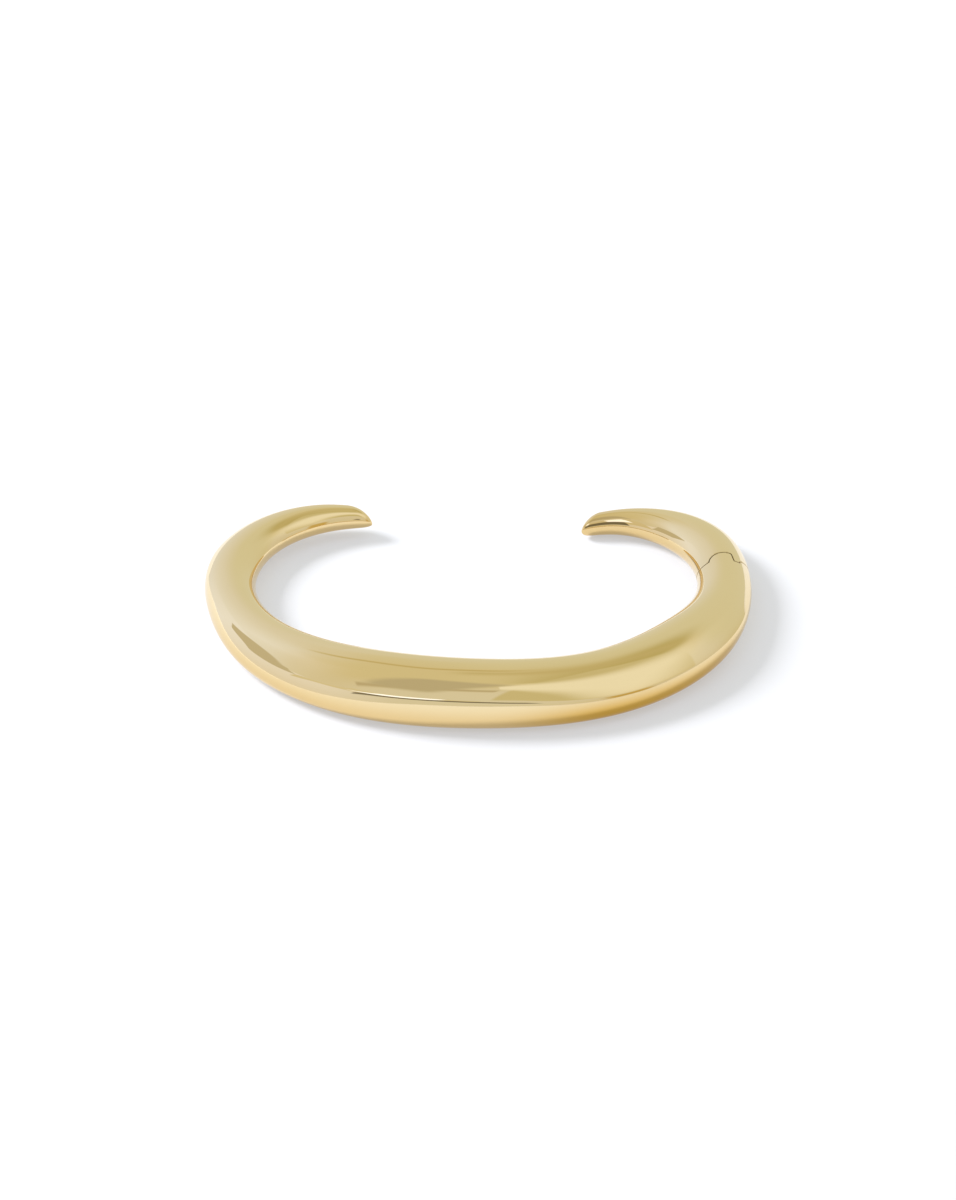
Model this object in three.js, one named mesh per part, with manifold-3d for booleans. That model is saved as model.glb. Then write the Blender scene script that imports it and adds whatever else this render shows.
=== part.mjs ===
// A rigid open collar necklace in polished gilt metal. One long cast bar runs from the left tip, round a
// broad front, to a hinge at the right of the neck. A short arm swings on that hinge and ends in the right
// tip. Millimetres, +Z up, the front towards -Y, lying on its underside at z = 0.

import * as THREE from "three";
import { mergeVertices } from "three/addons/utils/BufferGeometryUtils.js";
import Module from "manifold-3d";

const wasm = await Module();
wasm.setup();

// ---- Driving dimensions -------------------------------------------------------------------------------

// The neck oval is the line that the bar's inner edge follows. Its middle lies behind the middle of the
// whole collar, because the front is the broadest part of the bar.
const NECK = { halfWidth: 61, halfDepth: 52, x: 0.24, y: 10.44 };

// The bar's sections, from the left tip round the front (turn 0) to the right tip.
// turn: degrees round the neck oval. inner: inner edge outside (+) or inside (-) the oval.
// width, height: across and up. lift: underside above the table.
// slant: 0 for the level section of the arms, 1 for the front, whose inner rim is high and outer foot low.
// shoulder, ridge: where the outer ridge lies across the width and up the height.
// crisp: 0 where the ridge has melted away, 1 where it is a clear edge.
const COLUMNS = ["inner", "width", "height", "lift", "slant", "shoulder", "ridge", "crisp"];
const SECTIONS = [
  { turn: -149, row: [-3.9, 8.0, 5.2, 2.8, 0.0, 0.9, 0.72, 0.0] },
  { turn: -144, row: [-1.7, 10.1, 6.4, 2.5, 0.0, 0.9, 0.72, 0.0] },
  { turn: -130, row: [2.5, 13.4, 8.2, 1.6, 0.0, 0.91, 0.73, 0.0] },
  { turn: -105, row: [2.1, 14.8, 9.8, 0.4, 0.0, 0.93, 0.75, 0.2] },
  { turn: -80, row: [-0.2, 14.3, 11.0, 0.0, 0.1, 0.9, 0.8, 0.6] },
  { turn: -55, row: [-0.7, 17.2, 12.3, 0.0, 0.5, 0.87, 0.74, 1.0] },
  { turn: -28, row: [-1.0, 20.4, 13.9, 0.0, 0.9, 0.93, 0.68, 0.9] },
  { turn: 0, row: [-0.8, 19.7, 14.2, 0.0, 1.0, 0.96, 0.68, 0.6] },
  { turn: 28, row: [-0.2, 19.8, 13.3, 0.0, 0.9, 0.97, 0.6, 0.8] },
  { turn: 55, row: [-2.6, 19.7, 13.1, 0.0, 0.5, 0.97, 0.6, 0.8] },
  { turn: 80, row: [-1.7, 16.0, 11.6, 0.0, 0.1, 0.94, 0.58, 0.6] },
  { turn: 105, row: [0.9, 15.3, 10.8, 0.0, 0.0, 0.94, 0.7, 0.3] },
  { turn: 130, row: [2.5, 14.3, 9.0, 0.2, 0.0, 0.92, 0.75, 0.0] },
  { turn: 144, row: [-1.7, 10.3, 6.7, 0.5, 0.0, 0.9, 0.72, 0.0] },
  { turn: 149.5, row: [-5.9, 10.2, 5.8, 0.2, 0.0, 0.9, 0.72, 0.0] },
];

// The level and the slanted section: how far up the inner rim and the outermost belly stand, and how far
// out the crown and the foot lie, as parts of the section's height and width.
const LEVEL = { rim: 0.5, crown: 0.5, belly: 0.45, foot: 0.5 };
const SLANTED = { rim: 0.75, crown: 0.3, belly: 0.3, foot: 0.65 };

const SOLE = 2.2; // width of the flat strip along the underside
const SOLE_PART = 0.3; // the most of a narrow section's width that the strip may take

// Each tip rounds off over its last degrees, towards a nose that lies low down and nearer its inner edge.
const LEFT_TIP = { round: 4.6, blunt: 2.65, noseOut: 0.32, noseUp: 0.2 };
const RIGHT_TIP = { round: 3.1, blunt: 2.7, noseOut: 0.35, noseUp: 0.33 };

// The hinge in its own frame: u outward from the neck oval, v along the bar towards the right tip.
const HINGE_TURN = 96.5;
// The seam: the bar ends in a round-nosed tongue that lies in a matching notch of the arm, between two
// butt faces. The tongue's outer side is straight, and its root flares into the inner butt face.
const SEAM = { outerButt: 0, innerButt: 0.7, gap: 0.25 };
const TONGUE = { u: 8.2, v: 0.2, radius: 4.7, side: 10.3, corner: 0.9, root: 162, flare: 1.9 };
// The pin stands upright near the outer edge, so that the faces part as the arm swings out.
const PIN = { u: 13.7, radius: 0.45, low: 2.9, high: 6.7, bore: 0.53, endPlay: 0.1 };
// The arm's knuckle lies between two of the bar's. Each turns in a round pocket of the other piece.
const KNUCKLE = { radius: 1.6, low: 3.7, high: 5.9, gap: 0.25 };

// Facets: sections along the bar, the extra ones on a tip, and points along a section's six stretches.
const RING_STEP = 3;
const TIP_RINGS = [0.18, 0.36, 0.55, 0.77];
const STRETCH_STEPS = [8, 8, 4, 5, 1, 6];

// ---- Solids and booleans ------------------------------------------------------------------------------

function toSolid(geometry) {
  const bare = geometry.index ? geometry.toNonIndexed() : geometry.clone();
  bare.deleteAttribute("normal");
  bare.deleteAttribute("uv");
  const merged = mergeVertices(bare, 1e-5);
  return new wasm.Manifold(
    new wasm.Mesh({
      numProp: 3,
      vertProperties: merged.attributes.position.array,
      triVerts: new Uint32Array(merged.index.array),
    }),
  );
}

function toGeometry(solid) {
  const mesh = solid.getMesh();
  const geometry = new THREE.BufferGeometry();
  geometry.setAttribute("position", new THREE.BufferAttribute(new Float32Array(mesh.vertProperties), 3));
  geometry.setIndex(new THREE.BufferAttribute(new Uint32Array(mesh.triVerts), 1));
  geometry.computeVertexNormals();
  return geometry;
}

// ---- The whole bar, before the hinge is cut -----------------------------------------------------------

const turns = SECTIONS.map((section) => section.turn);
const firstTurn = turns[0];
const lastTurn = turns.at(-1);
const rows = new THREE.CubicInterpolant(turns, SECTIONS.flatMap((section) => section.row), COLUMNS.length);

function sizesAt(turn) {
  const values = rows.evaluate(turn);
  const size = Object.fromEntries(COLUMNS.map((name, i) => [name, values[i]]));
  return { ...size, lift: Math.max(0, size.lift) };
}

// The point of the neck oval at a turn, and the level direction straight outwards from it.
function neckAt(turn) {
  const t = THREE.MathUtils.degToRad(turn);
  const out = new THREE.Vector2(Math.sin(t) / NECK.halfWidth, -Math.cos(t) / NECK.halfDepth).normalize();
  return { x: NECK.x + NECK.halfWidth * Math.sin(t), y: NECK.y - NECK.halfDepth * Math.cos(t), out };
}

// A quarter of an oval from where the path is to a corner's far side, round that corner.
const OVAL = 0.5523;
function quarter(path, cornerX, cornerY, x, y) {
  const from = path.currentPoint;
  path.bezierCurveTo(
    THREE.MathUtils.lerp(from.x, cornerX, OVAL),
    THREE.MathUtils.lerp(from.y, cornerY, OVAL),
    THREE.MathUtils.lerp(x, cornerX, OVAL),
    THREE.MathUtils.lerp(y, cornerY, OVAL),
    x,
    y,
  );
}

// One section as a closed outline: x across from the inner edge, y up from the underside.
function outlineAt({ width, height, slant, shoulder, ridge, crisp }) {
  const mix = (key) => THREE.MathUtils.lerp(LEVEL[key], SLANTED[key], slant);
  const rimY = mix("rim") * height;
  const crown = new THREE.Vector2(mix("crown") * width, height);
  const edge = new THREE.Vector2(shoulder * width, ridge * height);
  const belly = new THREE.Vector2(width, mix("belly") * height);
  const foot = mix("foot") * width;
  const sole = Math.min(SOLE, SOLE_PART * width) / 2;

  // Where the ridge is crisp its two faces arrive at their own slopes, and where it isn't at a shared one.
  const overRidge = new THREE.Vector2((crown.x + edge.x) / 2, crown.y);
  const underRidge = new THREE.Vector2(belly.x, (belly.y + edge.y) / 2);
  const up = overRidge.clone().sub(edge).normalize();
  const down = underRidge.clone().sub(edge).normalize();
  const shared = up.clone().sub(down).normalize();
  up.lerp(shared, 1 - crisp).normalize();
  down.lerp(shared.negate(), 1 - crisp).normalize();
  const upHandle = edge.clone().addScaledVector(up, crown.distanceTo(edge) / 3);
  const downHandle = edge.clone().addScaledVector(down, edge.distanceTo(belly) / 3);

  const outline = new THREE.Path();
  outline.moveTo(0, rimY);
  quarter(outline, 0, height, crown.x, height);
  outline.bezierCurveTo(overRidge.x, overRidge.y, upHandle.x, upHandle.y, edge.x, edge.y);
  outline.bezierCurveTo(
    downHandle.x,
    downHandle.y,
    belly.x,
    belly.y + edge.distanceTo(belly) / 3,
    belly.x,
    belly.y,
  );
  quarter(outline, width, 0, foot + sole, 0);
  outline.lineTo(foot - sole, 0);
  quarter(outline, 0, 0, 0, rimY);
  return outline;
}

function ringAt(turn) {
  const size = sizesAt(turn);
  const neck = neckAt(turn);
  const curves = outlineAt(size).curves;
  const points = curves.flatMap((curve, i) => curve.getPoints(STRETCH_STEPS[i]).slice(0, -1));
  const tip = turn < 0 ? LEFT_TIP : RIGHT_TIP;
  const toTip = turn < 0 ? turn - firstTurn : lastTurn - turn;
  const past = Math.max(0, 1 - toTip / tip.round);
  const shrink = Math.sqrt(1 - past ** tip.blunt);
  const nose = new THREE.Vector2(tip.noseOut * size.width, tip.noseUp * size.height);
  return points.map((point) => {
    const { x, y } = point.sub(nose).multiplyScalar(shrink).add(nose);
    const across = size.inner + x;
    return new THREE.Vector3(neck.x + neck.out.x * across, neck.y + neck.out.y * across, size.lift + y);
  });
}

function makeWholeBar() {
  const start = firstTurn + LEFT_TIP.round;
  const length = lastTurn - RIGHT_TIP.round - start;
  const count = Math.round(length / RING_STEP);
  const tipWays = (tip) => TIP_RINGS.map((part) => tip.round * (1 - Math.cos((part * Math.PI) / 2)));
  const stations = [
    ...tipWays(LEFT_TIP).map((way) => firstTurn + way),
    ...Array.from({ length: count + 1 }, (_, i) => start + (length * i) / count),
    ...tipWays(RIGHT_TIP).map((way) => lastTurn - way).reverse(),
  ];
  const rings = stations.map(ringAt);
  const sides = rings[0].length;
  const leftEnd = ringAt(firstTurn)[0];
  const rightEnd = ringAt(lastTurn)[0];
  const vertices = [leftEnd, ...rings.flat(), rightEnd];
  const at = (ring, i) => 1 + ring * sides + (i % sides);
  const faces = [];
  for (let i = 0; i < sides; i++) {
    faces.push([0, at(0, i + 1), at(0, i)]);
    for (let r = 0; r + 1 < rings.length; r++) {
      faces.push([at(r, i), at(r + 1, i + 1), at(r + 1, i)]);
      faces.push([at(r, i), at(r, i + 1), at(r + 1, i + 1)]);
    }
    faces.push([vertices.length - 1, at(rings.length - 1, i), at(rings.length - 1, i + 1)]);
  }
  const geometry = new THREE.BufferGeometry();
  geometry.setAttribute("position", new THREE.Float32BufferAttribute(vertices.flatMap((v) => v.toArray()), 3));
  geometry.setIndex(faces.flat());
  return toSolid(geometry);
}

// ---- The hinge ----------------------------------------------------------------------------------------

const BELOW = -1; // below the underside
const ABOVE = 16; // above the crown
const BEYOND = 60; // past every side of the arm

const hingeNeck = neckAt(HINGE_TURN);
const hingeFrame = new THREE.Matrix4()
  .makeRotationZ(Math.atan2(hingeNeck.out.y, hingeNeck.out.x))
  .setPosition(hingeNeck.x, hingeNeck.y, 0);

// Everything on the arm's side of the seam, kept back from the seam line by a gap.
function armSide(gap) {
  const radius = TONGUE.radius + gap;
  const side = TONGUE.side + gap;
  const cornerU = side - TONGUE.corner;
  const cornerV = Math.sqrt((radius - TONGUE.corner) ** 2 - (cornerU - TONGUE.u) ** 2);
  const noseAngle = Math.atan2(cornerV, cornerU - TONGUE.u);
  const rootAngle = THREE.MathUtils.degToRad(TONGUE.root);
  const rootU = TONGUE.u + radius * Math.cos(rootAngle);
  const innerButt = SEAM.innerButt + gap;
  const shape = new THREE.Shape();
  shape.moveTo(BEYOND, SEAM.outerButt + gap);
  shape.lineTo(side, SEAM.outerButt + gap);
  shape.absarc(cornerU, TONGUE.v + cornerV, TONGUE.corner, 0, noseAngle, false);
  shape.absarc(TONGUE.u, TONGUE.v, radius, noseAngle, rootAngle, false);
  shape.quadraticCurveTo(rootU, innerButt, rootU - TONGUE.flare, innerButt);
  shape.lineTo(-BEYOND, innerButt);
  shape.lineTo(-BEYOND, BEYOND);
  shape.lineTo(BEYOND, BEYOND);
  shape.closePath();
  const geometry = new THREE.ExtrudeGeometry(shape, { depth: ABOVE - BELOW, bevelEnabled: false });
  return toSolid(geometry.translate(0, 0, BELOW).applyMatrix4(hingeFrame));
}

// A round post on the pin's axis.
function post(radius, low, high) {
  const geometry = new THREE.CylinderGeometry(radius, radius, high - low, 24).rotateX(Math.PI / 2);
  return toSolid(geometry.translate(PIN.u, 0, (low + high) / 2).applyMatrix4(hingeFrame));
}

const wholeBar = makeWholeBar();
const pocketRadius = KNUCKLE.radius + KNUCKLE.gap;
const play = KNUCKLE.gap / 2;
const bore = post(PIN.bore, PIN.low - PIN.endPlay, PIN.high + PIN.endPlay);
const lowKnuckle = post(KNUCKLE.radius, BELOW, KNUCKLE.low - play);
const middleKnuckle = post(KNUCKLE.radius, KNUCKLE.low + play, KNUCKLE.high - play);
const highKnuckle = post(KNUCKLE.radius, KNUCKLE.high + play, ABOVE);

const barSolid = wholeBar
  .subtract(armSide(0))
  .add(wholeBar.intersect(lowKnuckle.add(highKnuckle)))
  .subtract(post(pocketRadius, KNUCKLE.low - play, KNUCKLE.high + play))
  .subtract(bore);

const armSolid = wholeBar
  .intersect(armSide(SEAM.gap))
  .subtract(post(pocketRadius, BELOW, KNUCKLE.low + play))
  .subtract(post(pocketRadius, KNUCKLE.high - play, ABOVE))
  .add(wholeBar.intersect(middleKnuckle))
  .subtract(bore);

// ---- Scene graph --------------------------------------------------------------------------------------

function piece(name, solid, color, roughness) {
  const material = new THREE.MeshStandardMaterial({ color, roughness, metalness: 1 });
  const mesh = new THREE.Mesh(toGeometry(solid), material);
  mesh.name = name;
  return mesh;
}

const collar = new THREE.Group();
collar.name = "collar_necklace";
collar.add(piece("collar_bar", barSolid, 0xdcc58a, 0.08));
collar.add(piece("hinged_arm", armSolid, 0xdcc58a, 0.08));
collar.add(piece("hinge_pin", post(PIN.radius, PIN.low, PIN.high), 0xb99a58, 0.2));

export default collar;
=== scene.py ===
import math

import bmesh
import bpy
import numpy as np
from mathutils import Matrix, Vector
from mathutils.bvhtree import BVHTree


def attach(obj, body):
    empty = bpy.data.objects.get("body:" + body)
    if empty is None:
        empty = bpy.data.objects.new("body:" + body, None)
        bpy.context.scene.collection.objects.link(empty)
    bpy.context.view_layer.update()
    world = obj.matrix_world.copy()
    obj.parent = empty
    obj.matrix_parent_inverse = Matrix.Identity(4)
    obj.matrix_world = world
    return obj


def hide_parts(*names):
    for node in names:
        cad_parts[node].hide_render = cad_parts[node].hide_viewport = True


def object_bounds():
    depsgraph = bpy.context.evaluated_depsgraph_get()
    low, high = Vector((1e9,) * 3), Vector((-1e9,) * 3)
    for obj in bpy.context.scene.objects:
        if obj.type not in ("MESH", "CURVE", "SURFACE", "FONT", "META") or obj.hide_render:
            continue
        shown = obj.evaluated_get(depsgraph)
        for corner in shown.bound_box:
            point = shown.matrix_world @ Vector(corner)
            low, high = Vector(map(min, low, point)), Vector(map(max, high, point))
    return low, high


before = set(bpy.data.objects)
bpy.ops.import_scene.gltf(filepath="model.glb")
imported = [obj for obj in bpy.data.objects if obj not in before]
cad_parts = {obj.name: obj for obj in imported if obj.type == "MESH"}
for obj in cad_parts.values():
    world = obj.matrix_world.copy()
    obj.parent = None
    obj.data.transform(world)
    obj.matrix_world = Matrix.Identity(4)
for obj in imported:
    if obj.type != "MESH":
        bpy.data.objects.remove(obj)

cad_low, cad_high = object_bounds()

# ---- The casting ---------------------------------------------------------------------------------------
# The collar is one bar, cast hollow in brass, then plated in pale gold and polished to a mirror. Its hinge
# is cut into it afterwards, so the whole bar is shaped first, from the left tip round to the right one.

# A millimetre in metres. The sizes of the casting and of its hinge are given in millimetres.
MM = 0.001

# The neck oval that the inner edge follows.
NECK_HALF_WIDTH = 61
NECK_HALF_DEPTH = 52
NECK_CENTRE = Vector((0.24, 10.44))

# The sections, by their turn round the oval in degrees: how far the inner edge lies outside the oval, the
# width, the height and the lift off the table. Then, as parts: how far the section slants, where its outer
# ridge lies across the width and up the height, and how crisp that ridge is.
COLUMNS = ("inner", "width", "height", "lift", "slant", "shoulder", "ridge", "crisp")
SECTIONS = {
    -149: (-3.9, 8.0, 5.2, 2.8, 0.0, 0.90, 0.72, 0.0),
    -144: (-1.7, 10.1, 6.4, 2.5, 0.0, 0.90, 0.72, 0.0),
    -130: (2.5, 13.4, 8.2, 1.6, 0.0, 0.91, 0.73, 0.0),
    -105: (2.1, 14.8, 9.8, 0.4, 0.0, 0.93, 0.75, 0.2),
    -80: (-0.2, 14.3, 11.0, 0.0, 0.1, 0.90, 0.80, 0.6),
    -55: (-0.7, 17.2, 12.3, 0.0, 0.5, 0.87, 0.74, 1.0),
    -28: (-1.0, 20.4, 13.9, 0.0, 0.9, 0.93, 0.68, 0.9),
    0: (-0.8, 19.7, 14.2, 0.0, 1.0, 0.96, 0.68, 0.6),
    28: (-0.2, 19.8, 13.3, 0.0, 0.9, 0.97, 0.60, 0.8),
    55: (-2.6, 19.7, 13.1, 0.0, 0.5, 0.97, 0.60, 0.8),
    80: (-1.7, 16.0, 11.6, 0.0, 0.1, 0.97, 0.58, 0.6),
    105: (0.9, 15.3, 10.8, 0.0, 0.0, 0.97, 0.70, 0.3),
    130: (2.5, 14.3, 9.0, 0.2, 0.0, 0.92, 0.75, 0.0),
    144: (-1.7, 10.3, 6.7, 0.5, 0.0, 0.90, 0.72, 0.0),
    149.5: (-5.9, 10.2, 5.8, 0.2, 0.0, 0.90, 0.72, 0.0),
}

# Where a level and a fully slanted section turn: the inner rim and the outer belly as parts of the height,
# the crown and the foot as parts of the width. The sole is a flat strip under the foot, and takes no more
# than its part of the width.
LEVEL = {"rim": 0.5, "crown": 0.5, "belly": 0.45, "foot": 0.5}
SLANTED = {"rim": 0.75, "crown": 0.3, "belly": 0.3, "foot": 0.65}
SOLE = 2.2
SOLE_PART = 0.3

# How a tip closes: over how many degrees, how bluntly, and towards which point of the section, given as
# parts of its width and height.
LEFT_TIP = {"round": 4.6, "blunt": 2.65, "nose_out": 0.32, "nose_up": 0.2}
RIGHT_TIP = {"round": 3.1, "blunt": 2.7, "nose_out": 0.35, "nose_up": 0.33}

turns = np.array(sorted(SECTIONS), float)
rows = np.array([SECTIONS[turn] for turn in sorted(SECTIONS)], float)


def bending_of(turns, rows):
    """The second derivatives of the smoothest curve through the rows."""
    gaps = np.diff(turns)
    count = len(turns)
    system = np.eye(count)
    right = np.zeros_like(rows)
    slopes = np.diff(rows, axis=0) / gaps[:, None]
    for i in range(1, count - 1):
        system[i, i - 1 : i + 2] = gaps[i - 1], 2 * (gaps[i - 1] + gaps[i]), gaps[i]
        right[i] = 6 * (slopes[i] - slopes[i - 1])
    return np.linalg.solve(system, right)


bending = bending_of(turns, rows)


def sizes_at(turn):
    """The section's sizes at a turn, by their names."""
    i = int(np.clip(np.searchsorted(turns, turn) - 1, 0, len(turns) - 2))
    gap = turns[i + 1] - turns[i]
    after = (turn - turns[i]) / gap
    before = 1 - after
    values = before * rows[i] + after * rows[i + 1]
    values = values + (before**3 - before) * bending[i] * gap**2 / 6
    values = values + (after**3 - after) * bending[i + 1] * gap**2 / 6
    size = dict(zip(COLUMNS, values))
    size["lift"] = max(0.0, size["lift"])
    return size


def bezier(a, b, c, d, steps, crowd_start=1.0, crowd_end=1.0):
    """Points from a to just before d, closer together near an end whose crowd is above 1."""
    points = []
    for i in range(steps):
        t = (i / steps) ** crowd_start
        t = 1 - (1 - t) ** crowd_end
        s = 1 - t
        points.append(a * s**3 + b * (3 * s * s * t) + c * (3 * s * t * t) + d * t**3)
    return points


# How far a curve's handles reach towards the corner to make a quarter of an oval.
OVAL_REACH = 0.5523


def quarter(a, corner, b, steps):
    """A quarter of an oval from a to b, round the corner between them."""
    return bezier(a, a.lerp(corner, OVAL_REACH), b.lerp(corner, OVAL_REACH), b, steps)


# The points on each stretch of the outline, and how closely they gather at the ridge.
TOP_STEPS = 8
SLOPE_STEPS = 9
SIDE_STEPS = 6
TURN_STEPS = 6
SOLE_STEPS = 1
RIDGE_CROWD = 1.5


def outline_of(size):
    """A section's outline: x across from the inner edge, y up from the underside."""
    width, height = size["width"], size["height"]
    part = {key: LEVEL[key] + (SLANTED[key] - LEVEL[key]) * size["slant"] for key in LEVEL}
    rim = Vector((0, part["rim"] * height))
    crown = Vector((part["crown"] * width, height))
    edge = Vector((size["shoulder"] * width, size["ridge"] * height))
    belly = Vector((width, part["belly"] * height))
    foot = part["foot"] * width
    sole = min(SOLE, SOLE_PART * width) / 2
    over = Vector(((crown.x + edge.x) / 2, height))
    under = Vector((width, (belly.y + edge.y) / 2))
    up = (over - edge).normalized()
    down = (under - edge).normalized()
    shared = (up - down).normalized()
    up = edge + shared.lerp(up, size["crisp"]).normalized() * (crown - edge).length / 3
    down = edge + (-shared).lerp(down, size["crisp"]).normalized() * (edge - belly).length / 3
    side = belly + Vector((0, (edge - belly).length / 3))
    outer = Vector((foot + sole, 0))
    inner = Vector((foot - sole, 0))
    return (
        quarter(rim, Vector((0, height)), crown, TOP_STEPS)
        + bezier(crown, over, up, edge, SLOPE_STEPS, crowd_end=RIDGE_CROWD)
        + bezier(edge, down, side, belly, SIDE_STEPS, crowd_start=RIDGE_CROWD)
        + quarter(belly, Vector((width, 0)), outer, TURN_STEPS)
        + bezier(outer, outer.lerp(inner, 1 / 3), outer.lerp(inner, 2 / 3), inner, SOLE_STEPS)
        + quarter(inner, Vector((0, 0)), rim, TURN_STEPS)
    )


def neck_at(turn):
    """The point of the neck oval at a turn, and the level direction straight outwards from it."""
    t = math.radians(turn)
    out = Vector((math.sin(t) / NECK_HALF_WIDTH, -math.cos(t) / NECK_HALF_DEPTH)).normalized()
    way = Vector((NECK_HALF_WIDTH * math.sin(t), -NECK_HALF_DEPTH * math.cos(t)))
    return NECK_CENTRE + way, out


def ring_at(turn):
    """The section's points at a turn, in place, in metres."""
    size = sizes_at(turn)
    base, out = neck_at(turn)
    tip = LEFT_TIP if turn < 0 else RIGHT_TIP
    to_tip = turn - turns[0] if turn < 0 else turns[-1] - turn
    past = max(0.0, 1 - to_tip / tip["round"])
    shrink = math.sqrt(1 - past ** tip["blunt"])
    nose = Vector((tip["nose_out"] * size["width"], tip["nose_up"] * size["height"]))
    ring = []
    for point in outline_of(size):
        q = nose + (point - nose) * shrink
        place = base + out * (size["inner"] + q.x)
        ring.append(Vector((place.x, place.y, size["lift"] + q.y)) * MM)
    return ring


def start_mesh(name):
    """Names the primitive just added, and opens it in edit mode with all of it selected."""
    piece = bpy.context.object
    piece.name = name
    bpy.ops.object.mode_set(mode="EDIT")
    return piece


def apply_modifiers(piece):
    """Makes all the piece's modifiers part of its mesh."""
    bpy.context.view_layer.objects.active = piece
    for modifier in list(piece.modifiers):
        bpy.ops.object.modifier_apply(modifier=modifier.name)


# The sections that are set: a few close together at each tip, the others evenly between them. The start
# radius doesn't matter, because each vertex of a new circle is then set in its place.
TIP_PARTS = (0.16, 0.32, 0.5, 0.68, 0.86)
RING_COUNT = 92
START_RADIUS = 0.005
SMOOTH_LEVEL = 2
tip_ways = [1 - math.cos(part * math.pi / 2) for part in TIP_PARTS]
stations = [turns[0] + way * LEFT_TIP["round"] for way in tip_ways]
stations += list(np.linspace(turns[0] + LEFT_TIP["round"], turns[-1] - RIGHT_TIP["round"], RING_COUNT))
stations += [turns[-1] - way * RIGHT_TIP["round"] for way in reversed(tip_ways)]

# A ring of vertices is set to the first section, closed, and then extruded on from section to section.
bpy.ops.object.select_all(action="DESELECT")
sides = len(ring_at(0))
bpy.ops.mesh.primitive_circle_add(vertices=sides, radius=START_RADIUS)
casting = start_mesh("casting")
mesh = bmesh.from_edit_mesh(casting.data)
for i, station in enumerate(stations):
    if i:
        bpy.ops.mesh.extrude_region_move()
        mesh = bmesh.from_edit_mesh(casting.data)
    front = [vertex for vertex in mesh.verts if vertex.select]
    for vertex, place in zip(front, ring_at(station)):
        vertex.co = place
    if i == 0:
        bpy.ops.mesh.fill_grid(span=sides // 4)
        bpy.ops.mesh.select_all(action="DESELECT")
        mesh = bmesh.from_edit_mesh(casting.data)
        for edge in mesh.edges:
            if edge.is_boundary:
                edge.select_set(True)
bpy.ops.mesh.fill_grid(span=sides // 4)
bpy.ops.mesh.select_all(action="SELECT")
bpy.ops.mesh.normals_make_consistent(inside=False)
bpy.ops.object.mode_set(mode="OBJECT")
smooth = casting.modifiers.new("smooth", "SUBSURF")
smooth.levels = smooth.render_levels = SMOOTH_LEVEL
apply_modifiers(casting)
bpy.ops.object.shade_smooth()

# ---- The hinge cut -------------------------------------------------------------------------------------
# A saw cut from top to bottom, at the right side of the neck, parts the hinged arm from the bar. It runs
# straight in from the outer rim, round the bar's tongue, and out at the neck.

# Places on the cut are given outwards from the neck and backwards from the hinge line. That line's turn and
# the tongue's root, an angle round the tongue's centre, are in degrees. The last three reach past the bar.
HINGE_TURN = 96.5
SEAM_GAP = 0.25
INNER_BUTT = 0.7
TONGUE_PLACE = Vector((8.2, 0.2))
TONGUE_RADIUS = 4.7
TONGUE_SIDE = 10.3
TONGUE_CORNER = 0.9
TONGUE_ROOT = 162
TONGUE_FLARE = 1.9
CORNER_STEPS = 6
TONGUE_STEPS = 28
FLARE_STEPS = 8

BELOW = -1
ABOVE = 16
BEYOND = 60

hinge_base, hinge_out = neck_at(HINGE_TURN)


def at_hinge(across, along):
    """A point given outwards from the neck and backwards from the hinge line, in metres."""
    place = hinge_base + hinge_out * across + Vector((-hinge_out.y, hinge_out.x)) * along
    return place * MM


def arc(centre, radius, start, end, steps):
    """Points on an arc, from its start angle to its end angle."""
    angles = np.linspace(start, end, steps + 1)
    return [centre + Vector((math.cos(angle), math.sin(angle))) * radius for angle in angles]


def seam_line(gap):
    """The outline of the arm's side of the cut, kept back from the bar by a gap."""
    radius = TONGUE_RADIUS + gap
    side = TONGUE_SIDE + gap
    corner_u = side - TONGUE_CORNER
    corner_v = math.sqrt((radius - TONGUE_CORNER) ** 2 - (corner_u - TONGUE_PLACE.x) ** 2)
    nose_angle = math.atan2(corner_v, corner_u - TONGUE_PLACE.x)
    root_angle = math.radians(TONGUE_ROOT)
    butt = INNER_BUTT + gap
    corner = Vector((corner_u, TONGUE_PLACE.y + corner_v))
    points = [Vector((BEYOND, gap)), Vector((side, gap))]
    points += arc(corner, TONGUE_CORNER, 0, nose_angle, CORNER_STEPS)
    points += arc(TONGUE_PLACE, radius, nose_angle, root_angle, TONGUE_STEPS)[1:]
    root = points[-1]
    elbow = Vector((root.x, butt))
    end = Vector((root.x - TONGUE_FLARE, butt))
    for i in range(1, FLARE_STEPS + 1):
        t = i / FLARE_STEPS
        points.append(root.lerp(elbow, t).lerp(elbow.lerp(end, t), t))
    return points + [Vector((-BEYOND, butt)), Vector((-BEYOND, BEYOND)), Vector((BEYOND, BEYOND))]


def saw_block(gap):
    """A tall block that fills the arm's side of the cut."""
    points = seam_line(gap)
    bpy.ops.object.select_all(action="DESELECT")
    bpy.ops.mesh.primitive_circle_add(vertices=len(points), radius=START_RADIUS, fill_type="NGON")
    block = start_mesh("saw_block")
    mesh = bmesh.from_edit_mesh(block.data)
    for vertex, point in zip(mesh.verts, points):
        vertex.co = at_hinge(point.x, point.y).to_3d() + Vector((0, 0, BELOW * MM))
    rise = (0, 0, (ABOVE - BELOW) * MM)
    bpy.ops.mesh.extrude_region_move(TRANSFORM_OT_translate={"value": rise})
    bpy.ops.mesh.select_all(action="SELECT")
    bpy.ops.mesh.normals_make_consistent(inside=False)
    bpy.ops.object.mode_set(mode="OBJECT")
    return block


def combine(piece, tool, operation):
    """Cuts the piece with the tool, joins them or keeps what they share, and uses the tool up."""
    change = piece.modifiers.new("change", "BOOLEAN")
    change.solver = "EXACT"
    change.operation = operation
    change.object = tool
    apply_modifiers(piece)
    bpy.data.objects.remove(tool)


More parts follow.
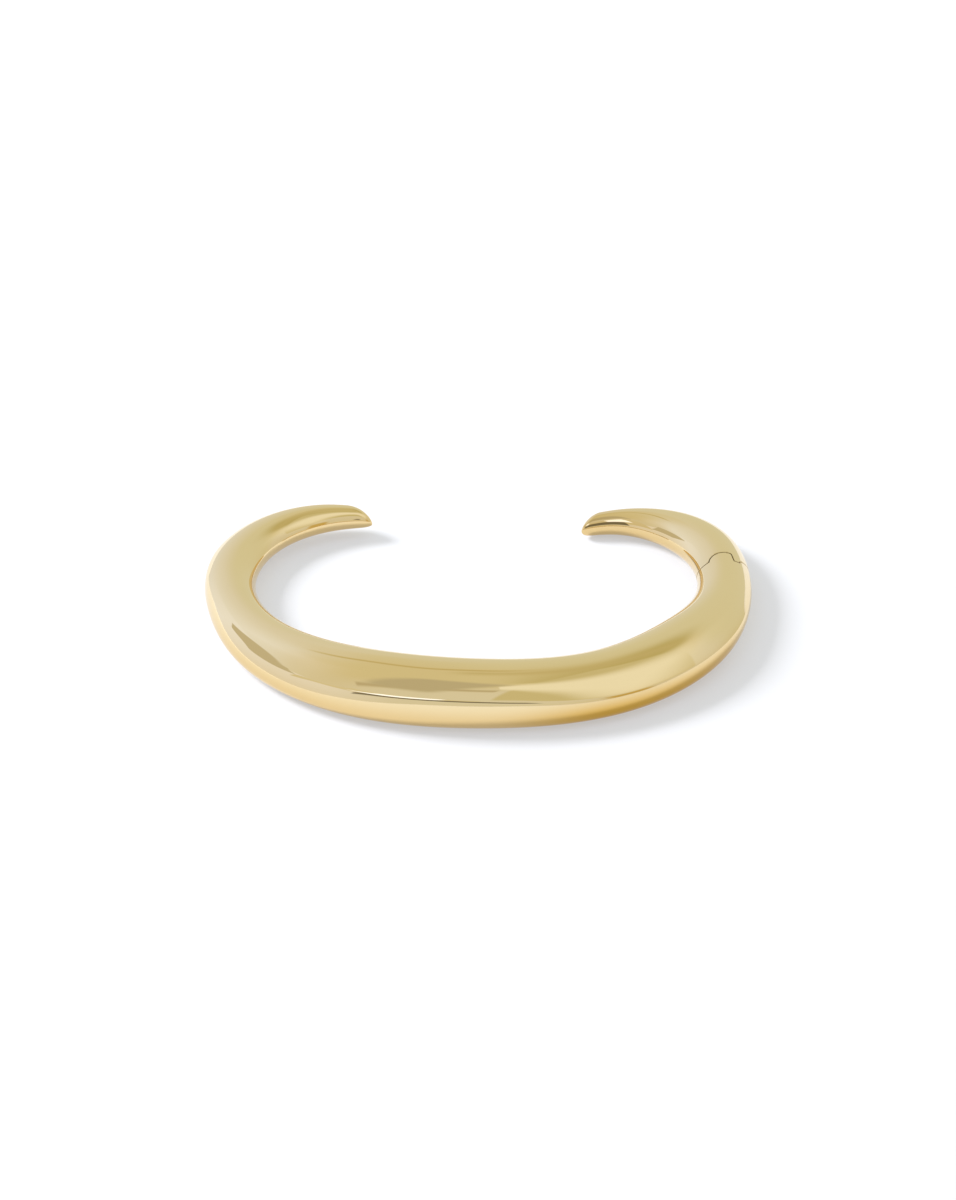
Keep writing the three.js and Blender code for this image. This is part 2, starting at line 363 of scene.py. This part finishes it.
# The pin's place outwards from the neck, and the heights of the pin and of the arm's knuckle above the
# table, with the play round each. Posts that only cut overshoot the casting.
PIN_ACROSS = 13.7
PIN_LOW = 2.9
PIN_HIGH = 6.7
BORE_RADIUS = 0.53
BORE_PLAY = 0.1
KNUCKLE_RADIUS = 1.6
KNUCKLE_LOW = 3.7
KNUCKLE_HIGH = 5.9
KNUCKLE_GAP = 0.25
POCKET_RADIUS = KNUCKLE_RADIUS + KNUCKLE_GAP
POST_SIDES = 48
OVERSHOOT = 1


def post(radius, low, high):
    """A round post on the pin's axis."""
    place = at_hinge(PIN_ACROSS, 0).to_3d()
    place.z = (low + high) / 2 * MM
    sizes = {"vertices": POST_SIDES, "radius": radius * MM, "depth": (high - low) * MM}
    bpy.ops.object.select_all(action="DESELECT")
    bpy.ops.mesh.primitive_cylinder_add(**sizes, location=place)
    bpy.ops.object.transform_apply()
    return bpy.context.object


# What lies nearer to the casting's surface than SKIN still belongs to it. The lips of the cut are pressed in
# by the drop, and take a part of the walls' dull dark colour, a painted shade along the seam.
SKIN = 0.003
LIP_DROP = 0.06
LIP_SEAM_SHADE = 0.6
CRISP_ANGLE = math.radians(40)
casting_faces = [tuple(face.vertices) for face in casting.data.polygons]
casting_surface = BVHTree.FromPolygons([vertex.co for vertex in casting.data.vertices], casting_faces)


def finish_cut(piece):
    """Breaks the lips of the cut, marks its walls for the dull unbuffed material and its lips for a part of
    it, a painted shade along the seam, and keeps the casting's own smooth shading on the rest."""
    bpy.ops.object.select_all(action="DESELECT")
    piece.select_set(True)
    mesh = piece.data
    walls = [casting_surface.find_nearest(face.center)[3] > SKIN * MM for face in mesh.polygons]
    lips = {i for face, wall in zip(mesh.polygons, walls) if wall for i in face.vertices}
    for i in lips:
        place, normal, _, away = casting_surface.find_nearest(mesh.vertices[i].co)
        if away < SKIN * MM:
            mesh.vertices[i].co = place - normal * LIP_DROP * MM
    bpy.ops.object.shade_smooth_by_angle(angle=CRISP_ANGLE)
    skin = piece.vertex_groups.new(name="skin")
    skin.add([vertex.index for vertex in mesh.vertices if vertex.index not in lips], 1, "REPLACE")
    shading = piece.modifiers.new("shading", "DATA_TRANSFER")
    shading.object = casting
    shading.use_loop_data = True
    shading.data_types_loops = {"CUSTOM_NORMAL"}
    shading.loop_mapping = "POLYINTERP_NEAREST"
    shading.vertex_group = "skin"
    apply_modifiers(piece)
    piece.vertex_groups.clear()
    # The walls take the dull unbuffed colour in full; the lips take a part of it, which paints a shade along
    # the seam.
    dullness_and_seam_shade = []
    for face, wall in zip(piece.data.polygons, walls):
        dullness_and_seam_shade += [1.0 if wall else LIP_SEAM_SHADE * (i in lips) for i in face.vertices]
    piece.data.attributes.new("cut", "FLOAT", "CORNER").data.foreach_set("value", dullness_and_seam_shade)


# ---- The collar bar ------------------------------------------------------------------------------------
# The long piece, from the left tip round the front to the hinge. It keeps the upper and the lower knuckle
# and ends in the tongue. Like the arm it is plated in pale gold and buffed until it mirrors the room.

PALE_GOLD = (0.885, 0.725, 0.435, 1)
DEEP_GOLD = (0.855, 0.695, 0.405, 1)
TONE_SCALE = 35
TONE_DETAIL = 2

# The red tint, a painted reflection of the shaded table and of the gold itself low on the band: its strength
# away from the right of the front, and, in metres, where it sets in and where it is full, going down, going
# right and going forwards.
SHADE_REFLECTION_GOLD = (0.67, 0.4, 0.07, 1)
SHADE_REFLECTION_ALL_ROUND = 0.42
SHADE_REFLECTION_HEIGHT = (0.0093, 0.0035)
SHADE_REFLECTION_ACROSS = (0, 0.035)
SHADE_REFLECTION_DEPTH = (-0.008, -0.026)

# The finish: how rough the mirror is and how much the haze and the bare cut add, the noise values between
# which haze sets in, the buffing lines' stretch, and the waves' height in metres.
MIRROR = 0.03
HAZE = 0.035
HAZE_SCALE = 90
HAZE_DETAIL = 3
HAZE_RANGE = (0.45, 0.7)
BUFF_SCALE = 420
BUFF_DETAIL = 4
BUFF_STRETCH = (1, 1, 8)
WAVE_SCALE = 48
WAVE_DETAIL = 0
WAVE_HEIGHT = 0.0004
# The cut walls' dull unbuffed colour, which on the lips is a painted shade along the seam.
UNBUFFED_AND_SEAM_SHADE = (0.5, 0.34, 0.12, 1)
UNBUFFED_HAZE = 0.35


class Nodes:
    """A node tree, with one method that adds any node to it."""

    def __init__(self, owner):
        owner.use_nodes = True
        self.tree = owner.node_tree

    def node(self, kind, settings=None, inputs=None, output=0):
        """Adds a node, sets it, feeds its sockets, and gives one of its outputs."""
        node = self.tree.nodes.new("ShaderNode" + kind)
        for name, value in (settings or {}).items():
            setattr(node, name, value)
        for name, value in (inputs or {}).items():
            self.feed(node.inputs[name], value)
        return Value(self, node.outputs[output])

    def feed(self, socket, value):
        """Links or sets a socket."""
        if isinstance(value, Value):
            self.tree.links.new(value.socket, socket)
        else:
            socket.default_value = value

    def step(self, value, start, end):
        """A value that goes smoothly from 0 at the start to 1 at the end."""
        ends = {"Value": value, "From Min": start, "From Max": end}
        return self.node("MapRange", {"interpolation_type": "SMOOTHSTEP"}, ends)

    def blend(self, part, before, after):
        """A colour that goes from one to the other."""
        return self.node("Mix", {"data_type": "RGBA"}, {0: part, 6: before, 7: after}, output=2)


class Value:
    """A socket's value. Python's operators on it add Math nodes."""

    def __init__(self, nodes, socket):
        self.nodes, self.socket = nodes, socket

    def math(self, operation, first, second=0.0):
        return self.nodes.node("Math", {"operation": operation}, {0: first, 1: second})

    def __add__(self, other):
        return self.math("ADD", self, other)

    def __sub__(self, other):
        return self.math("SUBTRACT", self, other)

    def __rsub__(self, other):
        return self.math("SUBTRACT", other, self)

    def __mul__(self, other):
        return self.math("MULTIPLY", self, other)

    def __truediv__(self, other):
        return self.math("DIVIDE", self, other)

    def __abs__(self):
        return self.math("ABSOLUTE", self)

    __radd__ = __add__
    __rmul__ = __mul__


def polished_gilt():
    """Buffed gold plate: a mirror with a slow waviness, and a faint haze of buffing lines in patches. Low
    down it is painted redder and darker, most of all at the right of the front: a painted reflection of the
    shaded table and of the gold itself. The wheel doesn't reach into the hinge cut, which stays dull and
    dark, and a painted shade along the seam darkens the lips of the cut."""
    gilt = bpy.data.materials.new("polished_gilt")
    nodes = Nodes(gilt)
    shader = gilt.node_tree.nodes["Principled BSDF"]
    shader.inputs["Metallic"].default_value = 1
    place = nodes.node("TexCoord", output=3)
    cut = nodes.node("Attribute", {"attribute_name": "cut"}, output=2)
    tone = nodes.node("TexNoise", inputs={"Vector": place, "Scale": TONE_SCALE, "Detail": TONE_DETAIL})
    gold = nodes.blend(tone, DEEP_GOLD, PALE_GOLD)
    across, depth, height = (nodes.node("SeparateXYZ", inputs={0: place}, output=i) for i in range(3))
    # Low down the gold is painted redder and darker, a painted reflection of the shaded table and of the
    # gold itself.
    right_front = nodes.step(across, *SHADE_REFLECTION_ACROSS) * nodes.step(depth, *SHADE_REFLECTION_DEPTH)
    painted_reflection = nodes.step(height, *SHADE_REFLECTION_HEIGHT) * (SHADE_REFLECTION_ALL_ROUND + (1 - SHADE_REFLECTION_ALL_ROUND) * right_front)
    gold = nodes.blend(painted_reflection, gold, SHADE_REFLECTION_GOLD)
    nodes.feed(shader.inputs["Base Color"], nodes.blend(cut, gold, UNBUFFED_AND_SEAM_SHADE))
    haze = nodes.node("TexNoise", inputs={"Vector": place, "Scale": HAZE_SCALE, "Detail": HAZE_DETAIL})
    patches = nodes.step(haze, *HAZE_RANGE)
    flat = nodes.node("Mapping", inputs={"Vector": place, "Scale": BUFF_STRETCH})
    lines = nodes.node("TexNoise", inputs={"Vector": flat, "Scale": BUFF_SCALE, "Detail": BUFF_DETAIL})
    nodes.feed(shader.inputs["Roughness"], MIRROR + HAZE * patches * lines + UNBUFFED_HAZE * cut)
    waves = nodes.node("TexNoise", inputs={"Vector": place, "Scale": WAVE_SCALE, "Detail": WAVE_DETAIL})
    bump = nodes.node("Bump", inputs={"Distance": WAVE_HEIGHT, "Height": waves})
    nodes.feed(shader.inputs["Normal"], bump)
    return gilt


gilt = polished_gilt()
bar = casting.copy()
bar.data = casting.data.copy()
bar.name = "collar_bar_cast"
bpy.context.scene.collection.objects.link(bar)
pocket_low = KNUCKLE_LOW - KNUCKLE_GAP / 2
pocket_high = KNUCKLE_HIGH + KNUCKLE_GAP / 2
bar_cut = saw_block(0)
combine(bar_cut, post(KNUCKLE_RADIUS, BELOW - OVERSHOOT, pocket_low), "DIFFERENCE")
combine(bar_cut, post(KNUCKLE_RADIUS, pocket_high, ABOVE + OVERSHOOT), "DIFFERENCE")
combine(bar_cut, post(POCKET_RADIUS, pocket_low, pocket_high), "UNION")
combine(bar_cut, post(BORE_RADIUS, PIN_LOW - BORE_PLAY, PIN_HIGH + BORE_PLAY), "UNION")
combine(bar, bar_cut, "DIFFERENCE")
finish_cut(bar)
bar.data.materials.clear()
bar.data.materials.append(gilt)
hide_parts("collar_bar")
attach(bar, "collar")

# ---- The hinged arm ------------------------------------------------------------------------------------
# The short piece behind the hinge, from the notch that takes the tongue to the right tip. Its one knuckle
# lies between the bar's two, and it swings outwards to let the neck in.

arm = casting.copy()
arm.data = casting.data.copy()
arm.name = "hinged_arm_cast"
bpy.context.scene.collection.objects.link(arm)
knuckle_low = KNUCKLE_LOW + KNUCKLE_GAP / 2
knuckle_high = KNUCKLE_HIGH - KNUCKLE_GAP / 2
arm_cut = saw_block(SEAM_GAP)
combine(arm_cut, post(POCKET_RADIUS, BELOW - OVERSHOOT, knuckle_low), "DIFFERENCE")
combine(arm_cut, post(POCKET_RADIUS, knuckle_high, ABOVE + OVERSHOOT), "DIFFERENCE")
combine(arm_cut, post(KNUCKLE_RADIUS, knuckle_low, knuckle_high), "UNION")
combine(arm_cut, post(BORE_RADIUS, PIN_LOW - BORE_PLAY, PIN_HIGH + BORE_PLAY), "DIFFERENCE")
combine(arm, arm_cut, "INTERSECT")
finish_cut(arm)
arm.data.materials.clear()
arm.data.materials.append(gilt)
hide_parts("hinged_arm")
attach(arm, "arm")
bpy.data.objects.remove(casting)

# ---- The hinge pin -------------------------------------------------------------------------------------
# A length of drawn brass wire, pressed into the bar's knuckles. The arm's knuckle turns on it. It isn't
# plated, so it is yellower and duller than the rest, with the die's lines along it.

DARK_BRASS = (0.62, 0.45, 0.18, 1)
BRIGHT_BRASS = (0.8, 0.6, 0.29, 1)
WIRE_ROUGHNESS = 0.18
LINE_ROUGHNESS = 0.2
DIE_LINES = 9000
DIE_STRETCH = (1, 1, 0.02)
DIE_DETAIL = 3


def drawn_brass():
    """Bare brass wire, with the die's fine lines along it in its colour and its gloss."""
    wire = bpy.data.materials.new("drawn_brass")
    nodes = Nodes(wire)
    shader = wire.node_tree.nodes["Principled BSDF"]
    shader.inputs["Metallic"].default_value = 1
    place = nodes.node("TexCoord", output=3)
    along = nodes.node("Mapping", inputs={"Vector": place, "Scale": DIE_STRETCH})
    lines = nodes.node("TexNoise", inputs={"Vector": along, "Scale": DIE_LINES, "Detail": DIE_DETAIL})
    nodes.feed(shader.inputs["Base Color"], nodes.blend(lines, DARK_BRASS, BRIGHT_BRASS))
    nodes.feed(shader.inputs["Roughness"], WIRE_ROUGHNESS + LINE_ROUGHNESS * lines)
    return wire


for slot in bpy.data.objects["hinge_pin"].material_slots:
    slot.material = drawn_brass()

# ---- The table -----------------------------------------------------------------------------------------
# A white light table. Its own soft glow, a little cool, keeps the shadows on it open and grey.

TABLE_SIZE = 30
PAPER = (0.395, 0.4, 0.43, 1)
PAPER_ROUGHNESS = 0.8
GLOW = 0.41
GLOW_COLOUR = (1, 1.03, 1.09, 1)

bpy.ops.object.select_all(action="DESELECT")
bpy.ops.mesh.primitive_plane_add(size=TABLE_SIZE, location=(0, 0, cad_low.z))
bpy.ops.object.transform_apply()
table = bpy.context.object
table.name = "table"
paper = bpy.data.materials.new("pale_table")
paper.use_nodes = True
shader = paper.node_tree.nodes["Principled BSDF"]
shader.inputs["Base Color"].default_value = PAPER
shader.inputs["Roughness"].default_value = PAPER_ROUGHNESS
shader.inputs["Emission Color"].default_value = GLOW_COLOUR
shader.inputs["Emission Strength"].default_value = GLOW
table.data.materials.append(paper)

# ---- The light -----------------------------------------------------------------------------------------
# A white tent with paler and darker cards hung in it, which the mirror finish shows, and a window at the
# left that throws the shadows. Turns are level angles in degrees from the back, clockwise from above.

UP = Vector((0, 0, 1))


def level_way(turn):
    """The level direction at a turn."""
    return Vector((math.sin(math.radians(turn)), math.cos(math.radians(turn)), 0))


def wall(turn):
    """The way that an upright card lies from the collar, and its own two directions."""
    return level_way(turn), level_way(turn + 90), UP


def ceiling(turn):
    """The way that a level card overhead lies, and its own two directions, the second one at the turn."""
    return UP, level_way(turn + 90), level_way(turn)


# Each card hangs over the ones before it. It is given by the way it lies, its two edges and their softness
# across and then along, all at one metre's distance, and its colour. No card shows from nearer to edge on
# than this cosine.
EDGE_ON = 0.01
TENT = (0.77, 0.77, 0.72, 1)
CARDS = [
    (wall(-97), (-0.8, 1.7, 1.05), (-3, 0.85, 0.05), (0.9, 0.92, 1.02)),
    (wall(-39), (-0.35, 0.05, 0.9), (-3, 1.9, 0.6), (0.97, 1.06, 1.34)),
    (wall(116), (-0.05, 0.35, 0.07), (-3, 0.55, 0.05), (0.65, 0.51, 0.21)),
    (ceiling(-14), (-0.25, 0.2, 1.4), (0.15, 0.8, 0.25), (0.69, 0.57, 0.2)),
    (ceiling(13), (-0.55, 0.85, 0.22), (0, 1.7, 0.25), (0.73, 0.69, 0.5)),
    (ceiling(2), (0.15, 0.58, 0.16), (0.21, 1.7, 0.02), (0.56, 0.51, 0.26)),
    (wall(19), (-0.4, 0.8, 0.22), (-3, 0.83, 0.22), (0.74, 0.74, 0.6)),
    (ceiling(5), (-0.1, 0.45, 0.05), (0.75, 0.9, 0.18), (0.6, 0.54, 0.31)),
    (ceiling(0), (-0.35, 0.1, 0.07), (1.0, 1.1, 0.05), (0.6, 0.52, 0.28)),
    (ceiling(10), (0.15, 1.8, 0.015), (-0.4, 0.65, 0.03), (0.66, 0.62, 0.41)),
    (wall(84), (-0.68, 0.74, 0.45), (0.8, 12, 0.55), (0.95, 0.96, 0.91)),
    (ceiling(13), (-0.5, 0.11, 0.01), (-0.14, -0.07, 0.03), (0.56, 0.51, 0.38)),
    (ceiling(-47), (-0.27, 0.18, 0.05), (0, 0.35, 0.05), (0.56, 0.53, 0.42)),
    (ceiling(-29), (-1.8, -0.72, 0.015), (0.78, 2.1, 0.015), (0.61, 0.58, 0.48)),
    (wall(-137), (-1, 0.9, 0.02), (0.54, 2.4, 0.015), (0.75, 0.71, 0.56)),
    (wall(-140), (-0.4, 0.45, 0.04), (1.05, 2.3, 0.05), (1.35, 1.5, 2)),
    (wall(-169), (-0.6, 0.77, 0.02), (0.34, 1.15, 0.04), (0.22, 0.21, 0.18)),
]

world = bpy.data.worlds.new("studio")
bpy.context.scene.world = world
studio = Nodes(world)
way = studio.node("TexCoord")
light = TENT
for (facing, right, up), across, along, colour in CARDS:
    near = studio.node("VectorMath", {"operation": "DOT_PRODUCT"}, {0: way, 1: facing}, output=1)
    far = studio.node("Math", {"operation": "MAXIMUM"}, {0: near, 1: EDGE_ON})
    inside = studio.node("Math", {"operation": "GREATER_THAN"}, {0: near, 1: EDGE_ON})
    for axis, (start, end, soft) in ((right, across), (up, along)):
        place = studio.node("VectorMath", {"operation": "DOT_PRODUCT"}, {0: way, 1: axis}, output=1) / far
        room = (end - start) / 2 - abs(place - (start + end) / 2)
        inside = inside * studio.step(room, -soft, soft)
    light = studio.blend(inside, light, (*colour, 1))
studio.feed(world.node_tree.nodes["Background"].inputs["Color"], light)

# The window stands at the left, a little to the back, and isn't seen itself or in the gilt.
WINDOW_PLACE = Vector((-1.88, 0.67, 1.4))
WINDOW_WIDTH = 1
WINDOW_HEIGHT = 0.8
WINDOW_ENERGY = 98
window_light = bpy.data.lights.new("window", "AREA")
window_light.shape = "RECTANGLE"
window_light.size = WINDOW_WIDTH
window_light.size_y = WINDOW_HEIGHT
window_light.energy = WINDOW_ENERGY
window = bpy.data.objects.new("window", window_light)
window.location = WINDOW_PLACE
window.rotation_euler = WINDOW_PLACE.to_track_quat("Z", "Y").to_euler()
window.visible_camera = False
window.visible_glossy = False
bpy.context.scene.collection.objects.link(window)

# ---- The camera ----------------------------------------------------------------------------------------
# It looks down on the front of the collar from a little under a metre away.

CAMERA_PITCH = math.radians(28)
CAMERA_DISTANCE = 0.9
CAMERA_LENS = 98.6
CAMERA_AIM = Vector((0, 0.0015, 0.0069))
camera_data = bpy.data.cameras.new("camera")
camera_data.lens = CAMERA_LENS
camera = bpy.data.objects.new("camera", camera_data)
back = Vector((0, -math.cos(CAMERA_PITCH), math.sin(CAMERA_PITCH)))
camera.location = CAMERA_AIM + back * CAMERA_DISTANCE
camera.rotation_euler = back.to_track_quat("Z", "Y").to_euler()
bpy.context.scene.collection.objects.link(camera)
bpy.context.scene.camera = camera
bpy.context.scene.view_settings.view_transform = "Standard"
